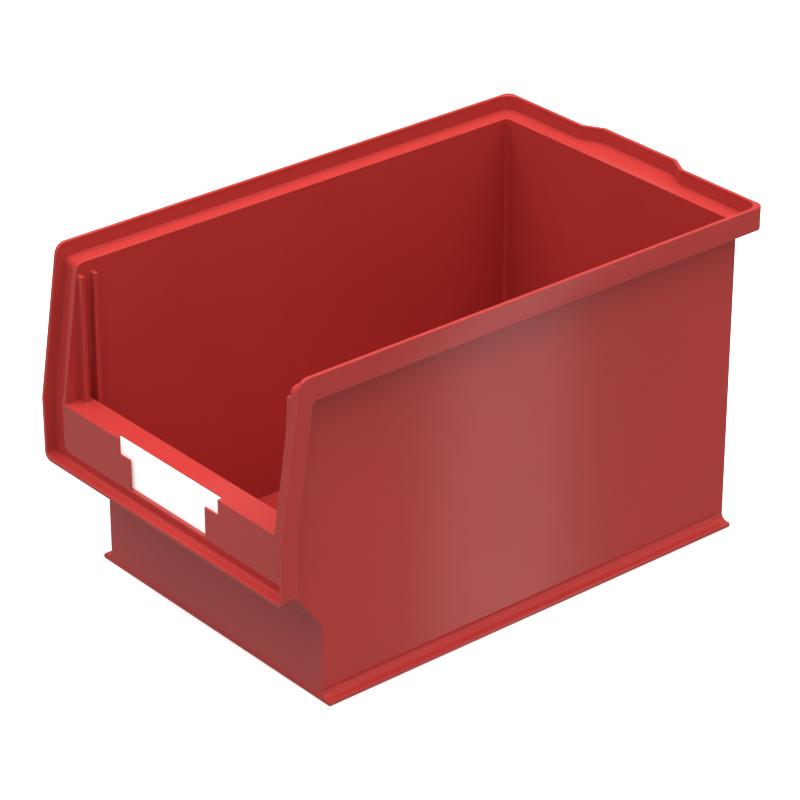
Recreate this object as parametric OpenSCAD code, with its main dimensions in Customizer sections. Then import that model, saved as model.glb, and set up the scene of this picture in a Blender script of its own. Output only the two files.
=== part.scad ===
// Open-fronted stackable storage bin: a one-piece moulded tub with a stacking rim,
// a hollow front visor with a label pocket, and the card that slides into it.
// X is across the bin, the open front faces -Y, Z is up, and the bin stands on z = 0.

/* [Overall] */
// Length from the front lip to the rear grip
bin_l = 345; // [280:1:420]
// Width over the rim
bin_w = 210; // [170:1:260]
// Height from the feet to the top of the rim
bin_h = 200; // [170:1:240]

/* [Walls and floor] */
// Wall thickness
wall_t = 2.7; // [2:0.1:3.3]
// Floor thickness
floor_t = 2.5; // [2:0.1:3]
// Gap under the floor, inside the foot ring
floor_lift = 1.5; // [1:0.1:3]
// Width of the foot ring under the walls
foot_ring_w = 9; // [6:0.5:14]
// Corner radius inside the tub
inside_r = 2; // [1:0.5:4]

/* [Stacking rim] */
// Thickness of the rim's upstand, ledge and skirt
rim_t = 2.3; // [2:0.1:3]
// How far the rim stands out from the walls
rim_reach = 10.5; // [8:0.5:13]
// Height of the upstand above the ledge
upstand_h = 9; // [7:0.5:11]
// Height of the collar, from the upstand's top to the skirt's lower edge
collar_h = 14; // [13:0.5:18]
// Corner radius of the rim outside
rim_r = 5; // [3:0.5:7]
// Corner radius of the upstand inside
upstand_r = 8; // [4:0.5:9]

/* [Rear grip] */
// Width of the rear grip where it leaves the rim
grip_w = 82.6; // [60:0.1:110]
// Length of the grip's slanted ends along the rim
grip_ramp = 12; // [8:0.5:18]
// How far the grip stands out from the rim
grip_reach = 6.6; // [4:0.1:9]
// Radius of the grip's corners, seen from above
grip_r = 3; // [1:0.5:5]

/* [Front] */
// Height of the front ledge above the ground
front_h = 110; // [90:1:135]
// Depth of the front ledge, from the panel's face
ledge_d = 16.5; // [14:0.5:22]
// Height at which the front edges start to lean back
kink_above = 1.5; // [0:0.5:6]
// How far the top of the front edges leans back
lean = 13.6; // [8:0.1:20]
// Height of the front visor, from its lower edge to the front ledge
visor_h = 36.5; // [34:0.5:44]
// How far the lip stands out from the front panel
lip_reach = 6; // [4:0.5:8]
// Thickness of the lip under the front panel
lip_t = 2.3; // [2:0.1:3]
// Width of the skirt down the front edges, seen from the side
front_skirt_w = 10.5; // [9:0.5:14]
// How far the skirt's lower end rises towards the back
skirt_rise = 2.5; // [1:0.5:4]
// Radius of the rim's top front corner
front_top_r = 7; // [4:0.5:10]
// Radius of the ledge's top front corner
ledge_top_r = 4.5; // [2:0.5:7]
// Radius of the skirt's corner beside the wall
skirt_corner_r = 3; // [1:0.5:6]
// Radius of the front frame's lower corners, seen from the front
front_low_r = 5; // [3:0.5:6]
// Radius of the same corners inside the lip
lip_corner_r = 4; // [2:0.5:5]
// Radius of the fillet between the front panel and its lower lip
lip_fillet_r = 2; // [1.5:0.5:5]
// Distance from the lip's face back to the lower front wall
front_setback = 34; // [28:0.5:44]
// Height of the lower front wall, where the slope starts
slope_z = 46.5; // [38:0.5:55]
// How far back the slope meets the visor's lower edge, from the lip's face
slope_back = 13.5; // [12:0.5:18]

/* [Feet] */
// How far the foot rails stand out from the side walls
foot_reach = 6.6; // [4:0.1:7]
// Thickness of the foot rails at their edge
foot_t = 2.6; // [2:0.1:4]
// Fillet between the foot rails and the side walls
foot_fillet_r = 4; // [2:0.5:5]
// How far the lower front wall flares out at the ground
flare = 0.8; // [0.4:0.1:1.5]
// Height of that flare
flare_h = 6; // [3:0.5:9]

/* [Pane guides] */
// Thickness of each guide rib
rib_t = 2.8; // [1.8:0.1:3.5]
// How far the guide ribs stand in from the side walls at the front ledge
rib_reach = 5.6; // [4:0.1:6]
// How far they stand in at their tops
rib_top_reach = 3.4; // [2.5:0.1:4]
// Gap between the two ribs of a pair
rib_gap = 5.7; // [4.5:0.1:8]
// Distance from the front ledge's back edge forward to the gap
rib_forward = 3.6; // [2:0.1:6]
// How far the ribs lean back from the ledge to their tops
rib_lean = 2; // [0:0.1:4]
// Distance from the rim's ledge down to the rib tops
rib_drop = 7; // [4:0.5:14]
// How far the rear ribs run down behind the front ledge
rib_tail = 40; // [10:1:44]

/* [Label pocket and card] */
// Width of the card
card_w = 87.6; // [70:0.1:100]
// Depth of the pocket, from the front ledge down to its floor
pocket_h = 27.6; // [22:0.1:33]
// Gap under the card
card_lift = 0.1; // [0.1:0.1:0.5]
// How far below the front ledge the card ends
card_drop = 0.4; // [0:0.1:2]
// Thickness of the card
card_t = 0.8; // [0.4:0.1:1]
// Clearance round the card, at each side and behind it
card_gap = 0.3; // [0.2:0.05:0.5]
// Distance from the panel's face to the face of the card
card_depth = 2.1; // [1.9:0.1:2.5]
// Thickness of the two ears that hold the card's lower corners
ear_t = 1.1; // [0.8:0.1:1.3]
// Width of each ear
ear_w = 11.5; // [8:0.5:20]
// Height of the ears above the pocket's floor
ear_h = 18.2; // [12:0.1:22]
// Wall behind and beside the pocket
pocket_t = 2; // [1.5:0.1:3]

/* [Hidden] */

arc_steps = 8;                  // flats in each rounded corner
past = 20;                      // how far a cutting shape runs past what it cuts
body_red = [0.78, 0.13, 0.12];

front_y = -bin_l / 2;           // face of the front lip
rear_y = bin_l / 2 - grip_reach; // outer face of the rim at the rear
half_w = bin_w / 2;
wall_x = half_w - rim_reach;    // outer face of the side walls
wall_y = rear_y - rim_reach;    // outer face of the rear wall
room_x = wall_x - wall_t;       // inner face of the side walls
room_y = wall_y - wall_t;       // inner face of the rear wall
floor_z = floor_lift + floor_t; // top of the floor
rim_z = bin_h - upstand_h;      // top of the stacking ledge
lip_z = front_h - visor_h;      // underside of the front lip
kink_z = front_h + kink_above;
lean_a = atan(lean / (bin_h - kink_z));
panel_y = front_y + lip_reach;  // face of the front panel
panel_back_y = panel_y + rim_t;
ledge_y = panel_y + ledge_d;    // back edge of the front ledge
lower_y = front_y + front_setback; // face of the lower front wall
slope_end_y = front_y + slope_back;
slope_m = (lip_z - slope_z) / (lower_y - slope_end_y);
card_face_y = panel_y + card_depth;
pocket_back_y = card_face_y + card_t + card_gap;
pocket_half = card_w / 2 + card_gap;
pocket_z = front_h - pocket_h;  // floor of the label pocket

// Height of the sloping front wall at y, for a surface that lies t inside it
function slope_at(y, t = 0) = slope_z + (lower_y - y) * slope_m + t * sqrt(1 + slope_m * slope_m);

// Where the leaning front edge is at height z, moved back into the bin by a
function edge_y(z, a) = front_y + a / cos(lean_a) + (z - kink_z) * tan(lean_a);

// Height of the bend in the front edge, moved back into the bin by a
function bend_z(a) = kink_z - a * (1 / cos(lean_a) - 1) / tan(lean_a);

function unit(v) = v / norm(v);

// Points along an arc about a centre, from one angle to another
function bend(centre, r, from, to) =
    [for (i = [0:arc_steps])
        let (angle = from + (to - from) * i / arc_steps)
        centre + r * [cos(angle), sin(angle)]];

// The arc that rounds corner b of the outline a, b, c with radius r
function corner(a, b, c, r) =
    let (u = unit(a - b), v = unit(c - b))
    let (half = acos(u * v) / 2)
    let (mid = b + unit(u + v) * r / sin(half))
    let (first = b + u * r / tan(half) - mid, last = b + v * r / tan(half) - mid)
    let (start = atan2(first[1], first[0]), turn = atan2(last[1], last[0]) - start)
    bend(mid, r, start, start + (turn > 180 ? turn - 360 : turn < -180 ? turn + 360 : turn));

// An outline of [x, y, radius] corners, with each corner rounded by its radius
function rounded(pts) =
    let (n = len(pts), xy = [for (p = pts) [p[0], p[1]]])
    [for (i = [0:n - 1]) each pts[i][2] > 0
        ? corner(xy[(i + n - 1) % n], xy[i], xy[(i + 1) % n], pts[i][2])
        : [xy[i]]];

// A side view drawn in Y and Z, made solid across the bin from -reach to reach
module across(reach) {
    translate([-reach, 0, 0])
        rotate([90, 0, 90])
            linear_extrude(2 * reach)
                children();
}

// A front view drawn in X and Z, made solid along the bin from y0 to y1
module along(y0, y1) {
    translate([0, y1, 0])
        rotate([90, 0, 0])
            linear_extrude(y1 - y0)
                children();
}

// A box given by its lowest and highest corners
module block(low, high) {
    translate(low)
        cube(high - low);
}

// Both halves of something that is the same on the left and on the right
module both_sides() {
    children();
    mirror([1, 0, 0])
        children();
}

// Plan of the rim's outline moved in by t, open ended past the front
module rim_plan(t, r) {
    ramp_shift = t * tan(atan(grip_reach / grip_ramp) / 2);
    base_x = grip_w / 2 - ramp_shift;
    tip_x = base_x - grip_ramp;
    side = [
        [half_w - t, front_y - past, 0],
        [half_w - t, rear_y - t, r],
        [base_x, rear_y - t, grip_r],
        [tip_x, rear_y - t + grip_reach, grip_r]
    ];
    other = [for (i = [3:-1:0]) [-side[i][0], side[i][1], side[i][2]]];
    polygon(rounded(concat(side, other)));
}

// Side view of everything behind the front edge and under the rim's top, moved in
// by a at the front and by b at the top, and reaching down to z. Behind the front
// panel the lower edge climbs by rise.
module profile(a, b, z, top_r, rise = 0) {
    step = rise > 0 ? [
        [panel_y, z, 0],
        [panel_y + 1.5 * rise, z + rise, 0]
    ] : [];
    polygon(rounded(concat([
        [rear_y + past, bin_h - b, 0],
        [edge_y(bin_h - b, a), bin_h - b, top_r],
        [front_y + a, bend_z(a), 0],
        [front_y + a, z, 0]
    ], step, [
        [rear_y + past, z + rise, 0]
    ])));
}

// Side view of a band that follows the rim, from depths a, b to depths a2, b2
module rim_band(a, b, top_r, rise, a2, b2, inner_r) {
    difference() {
        profile(a, b, lip_z, top_r, rise);
        profile(a2, b2, lip_z - past, inner_r);
    }
}

// Front view of everything above the front lip's underside, moved in by t at the
// sides and by low at the bottom
module front_outline(t, low, r) {
    x = half_w - t;
    polygon(rounded([
        [x, bin_h + past, 0],
        [-x, bin_h + past, 0],
        [-x, lip_z + low, r],
        [x, lip_z + low, r]
    ]));
}

// Upstand and skirt: the outer face of the rim, with the lip across the front
module collar() {
    intersection() {
        union() {
            translate([0, 0, front_h])
                linear_extrude(bin_h)
                    difference() {
                        rim_plan(0, rim_r);
                        rim_plan(rim_t, upstand_r);
                    }
            along(front_y - past, ledge_y)
                difference() {
                    front_outline(0, 0, front_low_r);
                    front_outline(rim_t, lip_t, lip_corner_r);
                }
        }
        across(half_w + past)
            rim_band(0, 0, front_top_r, skirt_rise, front_skirt_w, collar_h, skirt_corner_r);
    }
}

// Ledge that joins the walls to the collar, and its run down the front edges
module ledge() {
    intersection() {
        translate([0, 0, lip_z - past])
            linear_extrude(bin_h)
                difference() {
                    rim_plan(rim_t / 2, upstand_r);
                    translate([-room_x, front_y - 2 * past])
                        square([2 * room_x, room_y - front_y + 2 * past]);
                }
        across(half_w + past)
            rim_band(lip_reach, upstand_h, ledge_top_r, 0,
                     lip_reach + rim_t, upstand_h + rim_t, ledge_top_r);
        along(front_y - past, rear_y + past)
            front_outline(0, 0, front_low_r);
    }
}

// Side view of the walls: all that lies under the ledge and behind the front panel
module wall_profile() {
    polygon(rounded([
        [wall_y, 0, 0],
        [wall_y, rim_z, 0],
        [edge_y(rim_z, lip_reach), rim_z, ledge_top_r],
        [panel_y, bend_z(lip_reach), 0],
        [panel_y, lip_z, 0],
        [slope_end_y, lip_z, 0],
        [lower_y, slope_z, 0],
        [lower_y, flare_h, 0],
        [lower_y - flare * 0.3, flare_h * 0.5, 0],
        [lower_y - flare, flare_h * 0.2, 0],
        [lower_y - flare, 0, 0]
    ]));
}

// Side view of the room inside the tub, open at the top and over the front ledge
module room_profile() {
    inner_y = lower_y + wall_t;
    polygon([
        [room_y, floor_z],
        [room_y, bin_h + past],
        [front_y - past, bin_h + past],
        [front_y - past, front_h],
        [ledge_y, front_h],
        [ledge_y, slope_at(ledge_y, wall_t)],
        [inner_y, slope_at(inner_y, wall_t)],
        [inner_y, floor_z]
    ]);
}

// Plan of the room inside the tub, with rounded rear corners
module room_plan() {
    polygon(rounded([
        [room_x, front_y - past, 0],
        [room_x, room_y, inside_r],
        [-room_x, room_y, inside_r],
        [-room_x, front_y - past, 0]
    ]));
}

// Walls and floor, with the front visor hollow and open underneath
module shell() {
    difference() {
        across(wall_x)
            wall_profile();
        intersection() {
            across(half_w)
                room_profile();
            linear_extrude(bin_h + 2 * past)
                room_plan();
        }
        block([-room_x, panel_back_y, slope_z],
              [room_x, ledge_y - wall_t, front_h - rim_t]);
        block([-wall_x + foot_ring_w, lower_y + foot_ring_w, -past],
              [wall_x - foot_ring_w, wall_y - foot_ring_w, floor_lift]);
    }
}

// Fillet between the front panel and the lip under it
module lip_fillet() {
    lip_top = lip_z + lip_t;
    inside = min(rim_t, lip_t) / 2;
    across(half_w - rim_t)
        polygon(concat(
            [[panel_y + inside, lip_top - inside], [panel_y - lip_fillet_r, lip_top - inside]],
            bend([panel_y - lip_fillet_r, lip_top + lip_fillet_r], lip_fillet_r, -90, 0),
            [[panel_y + inside, lip_top + lip_fillet_r]]));
}

// Foot rail along one side wall, with its front end in line with the lower front wall
module foot_rail() {
    intersection() {
        along(lower_y - past, wall_y)
            polygon(concat(
                [[wall_x - wall_t / 2, 0], [wall_x + foot_reach, 0], [wall_x + foot_reach, foot_t]],
                bend([wall_x + foot_fillet_r, foot_t + foot_fillet_r], foot_fillet_r, -90, -180),
                [[wall_x - wall_t / 2, foot_t + foot_fillet_r]]));
        across(half_w)
            wall_profile();
    }
}

// One guide rib on the right wall, from height z0 up to its top, front face at y0
module guide_rib(y0, z0) {
    top_z = rim_z - rib_drop;
    shift = (z0 - front_h) / (top_z - front_h);
    foot_y = y0 + rib_lean * shift;
    foot_x = room_x - rib_reach + (rib_reach - rib_top_reach) * shift;
    root_x = room_x + wall_t / 2;
    intersection() {
        across(half_w)
            polygon([
                [foot_y, z0],
                [y0 + rib_lean, top_z],
                [y0 + rib_lean + rib_t, top_z],
                [foot_y + rib_t, z0]
            ]);
        along(front_y, wall_y)
            polygon([[foot_x, z0], [room_x - rib_top_reach, top_z], [root_x, top_z], [root_x, z0]]);
    }
}

// The pair of ribs that guide a pane on the right wall
module guide_pair() {
    gap_y = ledge_y - rib_forward;
    guide_rib(gap_y - rib_t, front_h - rim_t / 2);
    guide_rib(gap_y + rib_gap, front_h - rib_tail);
}

// Solid that thickens the panel behind the label pocket
module pocket_body() {
    block([-pocket_half - pocket_t, panel_y, pocket_z - pocket_t],
          [pocket_half + pocket_t, pocket_back_y + pocket_t, front_h]);
}

// Space of the label pocket: the card's slot and the T-shaped window in front of it
module pocket_space() {
    top = front_h + past;
    block([-pocket_half, panel_y + ear_t, pocket_z], [pocket_half, pocket_back_y, top]);
    block([-pocket_half + ear_w, panel_y - past, pocket_z], [pocket_half - ear_w, pocket_back_y, top]);
    block([-pocket_half, panel_y - past, pocket_z + ear_h], [pocket_half, pocket_back_y, top]);
}

module tub() {
    color(body_red)
        difference() {
            union() {
                shell();
                collar();
                ledge();
                lip_fillet();
                both_sides() {
                    foot_rail();
                    guide_pair();
                }
                pocket_body();
            }
            pocket_space();
        }
}

module label_card() {
    color("white")
        block([-card_w / 2, card_face_y, pocket_z + card_lift],
              [card_w / 2, card_face_y + card_t, front_h - card_drop]);
}

tub();
label_card();
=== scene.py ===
"""Looks for the stackable storage bin: the moulded red tub, its label card, and a pale studio.

Every length is in metres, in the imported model's frame: the open front faces -Y, and +Z is up.
The tub and the card are made from their CAD nodes' meshes, which give them their shape and place.
"""

import math

import bmesh
import bpy
from mathutils import Matrix, Vector


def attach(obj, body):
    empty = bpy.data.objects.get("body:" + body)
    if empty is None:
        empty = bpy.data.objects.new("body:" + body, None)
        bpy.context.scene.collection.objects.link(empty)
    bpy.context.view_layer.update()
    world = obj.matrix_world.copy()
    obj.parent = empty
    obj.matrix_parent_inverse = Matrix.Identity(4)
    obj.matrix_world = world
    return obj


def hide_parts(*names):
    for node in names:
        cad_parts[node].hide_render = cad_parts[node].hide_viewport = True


# Indices of the axes in a vector
X, Z = 0, 2

WHITE = (1.0, 1.0, 1.0)

# Camera, solved for the photograph's view. It aims at a height on the bin's upright middle line,
# moved a little to the left and down in the view. Lens and sensor are in millimetres.
AZIMUTH = math.radians(49.954)
ELEVATION = math.radians(27.779)
DISTANCE = 1.9023
LENS = 154.8
SENSOR_WIDTH = 36.0
AIM_HEIGHT = 0.1
AIM_RIGHT = -0.0048
AIM_UP = -0.0056

# Sky: pairs of the sine of the height and the brightness there, with straight lines between them
# and no change beyond them. Reflections see only a share of the second list, the light on top.
SKY_STEPS = ((-1.0, 0.40), (0.1, 0.34), (0.3, 0.26), (0.5, 0.18))
TOP_STEPS = ((0.1, 0.0), (0.5, 0.45), (0.62, 1.0), (0.8, 1.70), (1.0, 1.90))
TOP_MIRRORED = 0.15

# Soft patches of the sky: direction, cosine of the angle where the patch starts, and brightness
SKY_GLOWS = (((1.0, 0.0, 0.1), 0.5, 0.38), ((-0.678, -0.569, -0.466), 0.85, 0.20))

# Upright strip of the sky: its azimuth from +X, half its width as a sine, the share of that over
# which its edge fades, the cosine from its azimuth where it fades in, the sine of the height
# where it fades out upwards, and its brightness
STRIP_AZIMUTH = math.radians(42.05)
STRIP_HALF = 0.0195
STRIP_SOFTNESS = 0.35
STRIP_AHEAD = (0.2, 0.4)
STRIP_TOP = (0.35, -0.05)
STRIP_POWER = 1.15

# Floor: half its side, its cells each way, how far it lies under the feet, its greys and its glow
FLOOR_HALF = 40.0
FLOOR_CELLS = 4
FLOOR_DROP = 0.0005
FLOOR_GREYS = ((0.93, 0.93, 0.93), (0.95, 0.95, 0.95))
FLOOR_GLOW = 0.5

# Red plastic: two reds that it drifts between, the red of its mottle, a paler red painted on the
# outer edges as a highlight and a darker red painted in the inner corners as shade, with how
# strongly each shows, its range of roughness, and what the outer edges add to it
RED_DRIFT = ((0.415, 0.0345, 0.0300), (0.445, 0.0370, 0.0320))
RED_MOTTLE = (0.38, 0.0300, 0.0270)
RED_EDGE_HIGHLIGHT = (0.52, 0.055, 0.045)
RED_CORNER_SHADE = (0.30, 0.020, 0.019)
MOTTLE_SHARE = 0.12
EDGE_HIGHLIGHT_SHARE = 0.6
CORNER_SHADE_SHARE = 0.5
PLASTIC_ROUGHNESS = (0.06, 0.08)
EDGE_ROUGHNESS = 0.2
PLASTIC_IOR = 1.39

# Card: two whites that it drifts between, its range of roughness, and a painted glow that
# brightens it
CARD_WHITES = ((0.93, 0.93, 0.92), (0.97, 0.97, 0.965))
CARD_ROUGHNESS = (0.62, 0.78)
CARD_PAINTED_GLOW = 0.3

# The range that most of a noise texture's values lie in
NOISE_RANGE = (0.3, 0.7)

# Rounding of the edges: its radius on each piece, its segments, the least angle of an edge that
# gets it, and the face attribute that marks it
EDGE_ROUND = 0.0004
CARD_ROUND = 0.00012
ROUND_SEGMENTS = 2
SHARP_ANGLE = math.radians(25.0)
EDGE_MARK = "edge"

# Clean-up of the CAD meshes: points this close are one, points this close to a cutting plane lie
# on it, faces within this angle are one, and this cosine to an axis means looking along it
WELD_REACH = 1e-6
CUT_REACH = 1e-7
FLAT_ANGLE = math.radians(0.3)
ALONG_AXIS = 0.999

# Middle of the rear guide ribs in Y and Z, at their foot and at their top
RIB_FOOT = (-0.14756, 0.070)
RIB_TOP = (-0.1445, 0.184)

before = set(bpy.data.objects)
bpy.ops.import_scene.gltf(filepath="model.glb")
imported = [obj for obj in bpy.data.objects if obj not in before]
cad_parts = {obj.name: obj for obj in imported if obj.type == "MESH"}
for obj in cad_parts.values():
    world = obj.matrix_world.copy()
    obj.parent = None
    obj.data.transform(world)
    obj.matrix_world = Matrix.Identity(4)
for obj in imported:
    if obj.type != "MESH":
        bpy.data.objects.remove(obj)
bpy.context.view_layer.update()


# ---------------------------------------------------------------- shader nodes

class ShaderTree:
    """A node tree, with a short call for each kind of node that the looks repeat."""

    def __init__(self, tree):
        self.nodes = tree.nodes
        self.links = tree.links

    def add(self, kind):
        return self.nodes.new("ShaderNode" + kind)

    def feed(self, socket, value):
        """Links a socket to another node's output, or sets it to a number or a colour."""
        if isinstance(value, bpy.types.NodeSocket):
            self.links.new(value, socket)
        elif isinstance(value, tuple):
            socket.default_value = (*value, 1.0)
        else:
            socket.default_value = value

    def noise(self, where, scale, detail, roughness=0.5):
        """Noise with its scale in cells per metre."""
        node = self.add("TexNoise")
        self.feed(node.inputs["Vector"], where)
        self.feed(node.inputs["Scale"], scale)
        self.feed(node.inputs["Detail"], detail)
        self.feed(node.inputs["Roughness"], roughness)
        return node.outputs["Fac"]

    def remap(self, value, source, target=(0.0, 1.0)):
        """Carries a value from one range to another, and holds it at the target's ends."""
        node = self.add("MapRange")
        self.feed(node.inputs["Value"], value)
        self.feed(node.inputs["From Min"], source[0])
        self.feed(node.inputs["From Max"], source[1])
        self.feed(node.inputs["To Min"], target[0])
        self.feed(node.inputs["To Max"], target[1])
        return node.outputs["Result"]

    def maths(self, operation, *values, clamp=False):
        node = self.add("Math")
        node.operation = operation
        node.use_clamp = clamp
        for socket, value in zip(node.inputs, values):
            self.feed(socket, value)
        return node.outputs["Value"]

    def blend(self, factor, first, second):
        """A colour from the first to the second, as the factor goes from 0 to 1."""
        node = self.add("Mix")
        node.data_type = "RGBA"
        self.feed(node.inputs["Factor"], factor)
        self.feed(node.inputs["A"], first)
        self.feed(node.inputs["B"], second)
        return node.outputs["Result"]

    def bump(self, height, strength, distance, below=None):
        node = self.add("Bump")
        self.feed(node.inputs["Height"], height)
        self.feed(node.inputs["Strength"], strength)
        self.feed(node.inputs["Distance"], distance)
        if below is not None:
            self.feed(node.inputs["Normal"], below)
        return node.outputs["Normal"]


def new_material(name):
    """A material, its node tree, its shader, and the coordinates that its noises use."""
    material = bpy.data.materials.new(name)
    material.use_nodes = True
    tree = ShaderTree(material.node_tree)
    return material, tree, tree.nodes["Principled BSDF"], tree.add("TexCoord").outputs["Object"]


# ---------------------------------------------------------------- materials

def red_plastic():
    """Moulded polypropylene: fine grain, slow colour drift, painted edge highlight and corner
    shade.
    """
    material, tree, shader, where = new_material("moulded_red")
    drift = tree.noise(where, scale=9.0, detail=2.0)
    mottle = tree.noise(where, scale=60.0, detail=3.0)
    outer, inner = edge_masks(tree, where)

    colour = tree.blend(tree.remap(drift, NOISE_RANGE), *RED_DRIFT)
    patches = tree.remap(mottle, (0.35, 0.75), (0.0, MOTTLE_SHARE))
    # Painted highlight: paler red on the outer edges. Painted shade: darker red in the inner
    # corners.
    for mask, red in ((patches, RED_MOTTLE), (outer, RED_EDGE_HIGHLIGHT), (inner, RED_CORNER_SHADE)):
        colour = tree.blend(mask, colour, red)
    tree.feed(shader.inputs["Base Color"], colour)

    rough = tree.remap(mottle, NOISE_RANGE, PLASTIC_ROUGHNESS)
    # The outer edges, where the highlight is painted, are also rougher.
    rough = tree.maths("ADD", rough, tree.maths("MULTIPLY", outer, EDGE_ROUGHNESS))
    tree.feed(shader.inputs["Roughness"], rough)

    wave = tree.noise(where, scale=12.0, detail=1.0)
    grain = tree.noise(where, scale=700.0, detail=2.0)
    surface = tree.bump(wave, strength=0.02, distance=0.002)
    surface = tree.bump(grain, strength=0.02, distance=0.0002, below=surface)
    tree.feed(shader.inputs["Normal"], surface)
    tree.feed(shader.inputs["IOR"], PLASTIC_IOR)
    return material


def edge_masks(tree, where):
    """Broken-up masks for a painted highlight on the outer edges and painted shade in the
    corners.
    """
    edge = tree.add("Attribute")
    edge.attribute_name = EDGE_MARK
    broken = tree.remap(tree.noise(where, scale=130.0, detail=4.0), (0.35, 0.65), (0.3, 1.0))
    # Outer edges get the painted highlight, inner corners the painted shade.
    outer, inner = (tree.maths("MULTIPLY", edge.outputs["Fac"], share, clamp=True)
                    for share in (EDGE_HIGHLIGHT_SHARE, -CORNER_SHADE_SHARE))
    return tree.maths("MULTIPLY", outer, broken), tree.maths("MULTIPLY", inner, broken)


def white_card():
    """Uncoated label card: paper fibres, faintly warm patches, and a painted glow of its own."""
    material, tree, shader, where = new_material("label_paper")
    fibre = tree.noise(where, scale=900.0, detail=5.0, roughness=0.65)
    cloud = tree.noise(where, scale=40.0, detail=3.0)
    tree.feed(shader.inputs["Base Color"],
              tree.blend(tree.remap(cloud, NOISE_RANGE), *CARD_WHITES))
    tree.feed(shader.inputs["Roughness"], tree.remap(fibre, NOISE_RANGE, CARD_ROUGHNESS))
    tree.feed(shader.inputs["Normal"], tree.bump(fibre, strength=0.15, distance=0.0001))
    # Painted glow: the card shines by itself to look more brightly lit.
    tree.feed(shader.inputs["Emission Color"], WHITE)
    tree.feed(shader.inputs["Emission Strength"], CARD_PAINTED_GLOW)
    return material


def pale_floor():
    """Pale, even floor that lets a view from below through."""
    material, tree, shader, where = new_material("pale_floor")
    cloud = tree.noise(where, scale=3.0, detail=2.0)
    tree.feed(shader.inputs["Base Color"], tree.blend(cloud, *FLOOR_GREYS))
    tree.feed(shader.inputs["Roughness"], 0.9)
    tree.feed(shader.inputs["Specular IOR Level"], 0.0)
    tree.feed(shader.inputs["Emission Color"], WHITE)
    tree.feed(shader.inputs["Emission Strength"], FLOOR_GLOW)
    mix = tree.add("MixShader")
    factor, front, back = mix.inputs
    tree.feed(factor, tree.add("NewGeometry").outputs["Backfacing"])
    tree.feed(front, shader.outputs["BSDF"])
    tree.feed(back, tree.add("BsdfTransparent").outputs["BSDF"])
    tree.feed(tree.nodes["Material Output"].inputs["Surface"], mix.outputs["Shader"])
    return material


# ---------------------------------------------------------------- pieces

def split_faces(bm, axis, point, normal):
    """Cuts the faces that look along an axis by a plane, with seams that merging keeps."""
    faces = [f for f in bm.faces if abs(f.normal[axis]) > ALONG_AXIS]
    chosen = set(faces)
    edges = [e for e in bm.edges if not chosen.isdisjoint(e.link_faces)]
    verts = [v for v in bm.verts if not chosen.isdisjoint(v.link_faces)]
    made = bmesh.ops.bisect_plane(bm, geom=faces + edges + verts, dist=CUT_REACH,
                                  plane_co=point, plane_no=normal)
    for part in made["geom_cut"]:
        if isinstance(part, bmesh.types.BMEdge):
            part.seam = True


def solid_copy(node, cuts):
    """The CAD solid as welded flat faces, ready to have its edges rounded."""
    bm = bmesh.new()
    bm.from_mesh(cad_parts[node].data)
    bmesh.ops.remove_doubles(bm, verts=bm.verts, dist=WELD_REACH)
    for axis, point, normal in cuts:
        split_faces(bm, axis, point, normal)
    bmesh.ops.dissolve_limit(bm, angle_limit=FLAT_ANGLE, verts=bm.verts, edges=bm.edges,
                             use_dissolve_boundaries=False, delimit={"SEAM"})
    return bm


def round_edges(bm, radius):
    """Rounds every sharp edge, and marks the new faces: 1 on outer edges, -1 in corners."""
    mark = bm.faces.layers.float.new(EDGE_MARK)
    for convex, value in ((True, 1.0), (False, -1.0)):
        sharp = [e for e in bm.edges if e.is_manifold and e.is_convex == convex
                 and e.calc_face_angle() > SHARP_ANGLE]
        made = bmesh.ops.bevel(bm, geom=sharp, offset=radius, offset_type="OFFSET",
                               segments=ROUND_SEGMENTS, profile=0.5, affect="EDGES",
                               clamp_overlap=False, loop_slide=True)
        for face in made["faces"]:
            face[mark] = value
    bm.normal_update()


def make_piece(name, node, body, material, radius, cuts=()):
    """A CAD node's solid with rounded edges, shaded so that its large faces stay flat."""
    bm = solid_copy(node, cuts)
    round_edges(bm, radius)
    mesh = bpy.data.meshes.new(name)
    bm.to_mesh(mesh)
    normals = [sum((f.normal * f.calc_area() for f in v.link_faces), Vector()).normalized()
               for v in bm.verts]
    bm.free()
    mesh.materials.append(material)
    mesh.shade_smooth()
    mesh.normals_split_custom_set_from_vertices(normals)
    piece = bpy.data.objects.new(name, mesh)
    bpy.context.scene.collection.objects.link(piece)
    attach(piece, body)
    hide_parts(node)


def tub_cuts():
    """Planes through the rear guide ribs and the foot recess, each inside one large face."""
    across_rib = (0.0, RIB_TOP[1] - RIB_FOOT[1], RIB_FOOT[0] - RIB_TOP[0])
    return ((X, (0.0, *RIB_TOP), across_rib),
            (Z, (0.0, 0.0, 0.0), (1.0, 0.0, 0.0)))


def make_tub():
    make_piece("moulded_tub", node="tub", body="bin",
               material=red_plastic(), radius=EDGE_ROUND, cuts=tub_cuts())


def make_card():
    make_piece("label_sheet", node="label_card", body="label",
               material=white_card(), radius=CARD_ROUND)


# ---------------------------------------------------------------- studio

def make_floor():
    """A wide floor just under the bin's feet, which neither lights nor shades the bin."""
    bm = bmesh.new()
    bmesh.ops.create_grid(bm, x_segments=FLOOR_CELLS, y_segments=FLOOR_CELLS, size=FLOOR_HALF)
    mesh = bpy.data.meshes.new("studio_floor")
    bm.to_mesh(mesh)
    bm.free()
    mesh.materials.append(pale_floor())
    floor = bpy.data.objects.new("studio_floor", mesh)
    floor.location.z = -FLOOR_DROP
    bpy.context.scene.collection.objects.link(floor)
    floor.visible_glossy = False
    floor.visible_diffuse = False
    floor.visible_shadow = False


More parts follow.
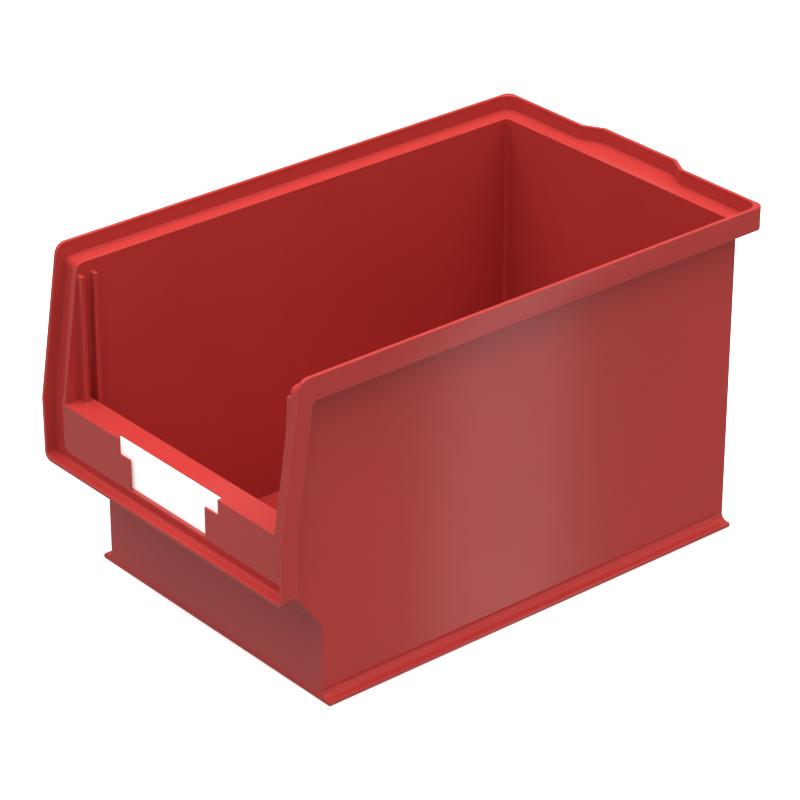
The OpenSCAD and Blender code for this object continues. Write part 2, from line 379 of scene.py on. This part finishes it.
def make_camera():
    right = Vector((math.cos(AZIMUTH), math.sin(AZIMUTH), 0.0))
    back = Vector((math.sin(AZIMUTH) * math.cos(ELEVATION),
                   -math.cos(AZIMUTH) * math.cos(ELEVATION), math.sin(ELEVATION)))
    up = back.cross(right)
    target = Vector((0.0, 0.0, AIM_HEIGHT)) + right * AIM_RIGHT + up * AIM_UP
    data = bpy.data.cameras.new("studio_camera")
    data.lens = LENS
    data.sensor_width = SENSOR_WIDTH
    camera = bpy.data.objects.new("studio_camera", data)
    axes = Matrix((right, up, back)).transposed().to_4x4()
    camera.matrix_world = Matrix.Translation(target + back * DISTANCE) @ axes
    bpy.context.scene.collection.objects.link(camera)
    bpy.context.scene.camera = camera


def area_light(name, place, aim, side, power, glossy):
    """A square light that the camera doesn't see, and reflections only where glossy is true."""
    data = bpy.data.lights.new(name, "AREA")
    data.shape = "SQUARE"
    data.size = side
    data.energy = power
    light = bpy.data.objects.new(name, data)
    light.location = place
    light.rotation_euler = (Vector(aim) - Vector(place)).to_track_quat("-Z", "Y").to_euler()
    light.visible_glossy = glossy
    light.visible_camera = False
    bpy.context.scene.collection.objects.link(light)


def cosine(sky, where, direction):
    """The cosine of the angle between a ray and a direction of the sky."""
    dot = sky.add("VectorMath")
    dot.operation = "DOT_PRODUCT"
    ray, other = dot.inputs[0], dot.inputs[1]
    sky.feed(ray, where)
    other.default_value = Vector(direction).normalized()
    return dot.outputs["Value"]


def gradient(sky, height, steps):
    """The brightness that a list of steps gives at the height of a ray."""
    total = steps[0][1]
    for (low, power_low), (high, power_high) in zip(steps, steps[1:]):
        part = sky.remap(height, (low, high), (0.0, power_high - power_low))
        total = sky.maths("ADD", part, total)
    return total


def upright_strip(sky, where, height):
    """A narrow upright strip of light low down at the right, which the side wall mirrors."""
    x, y = math.cos(STRIP_AZIMUTH), math.sin(STRIP_AZIMUTH)
    aside = sky.maths("ABSOLUTE", cosine(sky, where, (-y, x, 0.0)))
    ahead = cosine(sky, where, (x, y, 0.0))
    outer, inner = STRIP_HALF * (1.0 + STRIP_SOFTNESS), STRIP_HALF * (1.0 - STRIP_SOFTNESS)
    band = sky.remap(aside, (outer, inner), (0.0, STRIP_POWER))
    fade = sky.maths("MULTIPLY", sky.remap(ahead, STRIP_AHEAD), sky.remap(height, STRIP_TOP))
    return sky.maths("MULTIPLY", band, fade)


def make_world():
    """White light from all round, whose brightness depends on the direction."""
    world = bpy.data.worlds.new("studio_world")
    world.use_nodes = True
    sky = ShaderTree(world.node_tree)
    where = sky.add("TexCoord").outputs["Generated"]
    height = cosine(sky, where, (0.0, 0.0, 1.0))
    mirrored = sky.add("LightPath").outputs["Is Glossy Ray"]
    share = sky.remap(mirrored, (0.0, 1.0), (1.0, TOP_MIRRORED))

    top = sky.maths("MULTIPLY", gradient(sky, height, TOP_STEPS), share)
    patches = [sky.remap(cosine(sky, where, direction), (start, 1.0), (0.0, power))
               for direction, start, power in SKY_GLOWS]
    total = gradient(sky, height, SKY_STEPS)
    for part in (top, *patches, upright_strip(sky, where, height)):
        total = sky.maths("ADD", total, part)

    background = sky.nodes["Background"]
    sky.feed(background.inputs["Color"], WHITE)
    sky.feed(background.inputs["Strength"], total)
    bpy.context.scene.world = world


def make_studio():
    make_floor()
    make_camera()
    make_world()
    area_light("overhead", place=(0.0, 0.0, 2.2), aim=(0.0, 0.0, 0.0), side=2.4, power=34.0,
               glossy=True)
    area_light("front_fill", place=(-0.4, -1.6, 2.0), aim=(0.0, 0.05, 0.1), side=2.0, power=9.0,
               glossy=False)
    bpy.context.scene.view_settings.view_transform = "Standard"


make_tub()
make_card()
make_studio()
